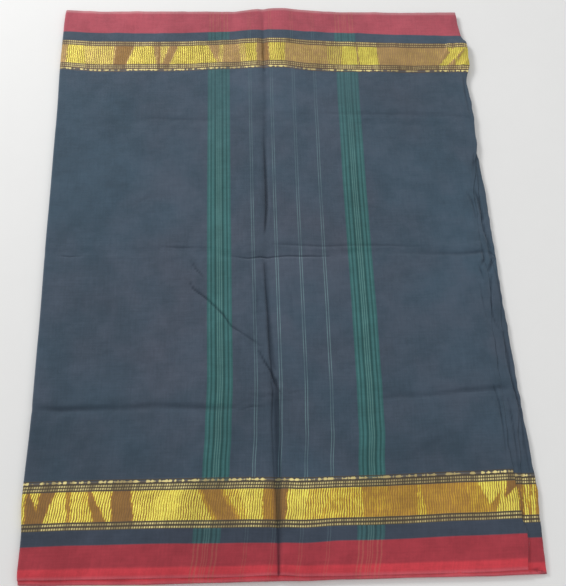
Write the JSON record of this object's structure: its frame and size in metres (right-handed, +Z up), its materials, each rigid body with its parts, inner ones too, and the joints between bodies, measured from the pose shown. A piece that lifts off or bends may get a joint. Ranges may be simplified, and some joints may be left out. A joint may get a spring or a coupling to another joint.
{
  "type": "folded cotton saree",
  "caption": "Cotton saree folded flat into a rectangular pile, with red selvedge borders, a metallic zari band at each side and green stripes across.",
  "frame": {"origin": "on the plane the pile rests on, below the middle of its bounding box", "axes": "+X along the length of the cloth, from the left fold to the cut ends; +Y across the cloth, from the front selvedge to the back one; +Z up, through the layers"},
  "size_m": [0.809, 1.1238, 0.0146],
  "materials": {
    "navy_cotton": "plain-woven slate navy cotton with green stripes, red selvedge borders and metallic zari bands",
    "navy_cotton_below": "the same cloth, one layer down",
    "layered_edges": "red selvedges and navy folds of the hidden layers"
  },
  "bodies": {
    "root": {"pallu_panel": "navy_cotton", "second_panel": "navy_cotton_below", "third_panel": "navy_cotton_below", "folded_layers": "layered_edges"}
  },
  "joints": []
}
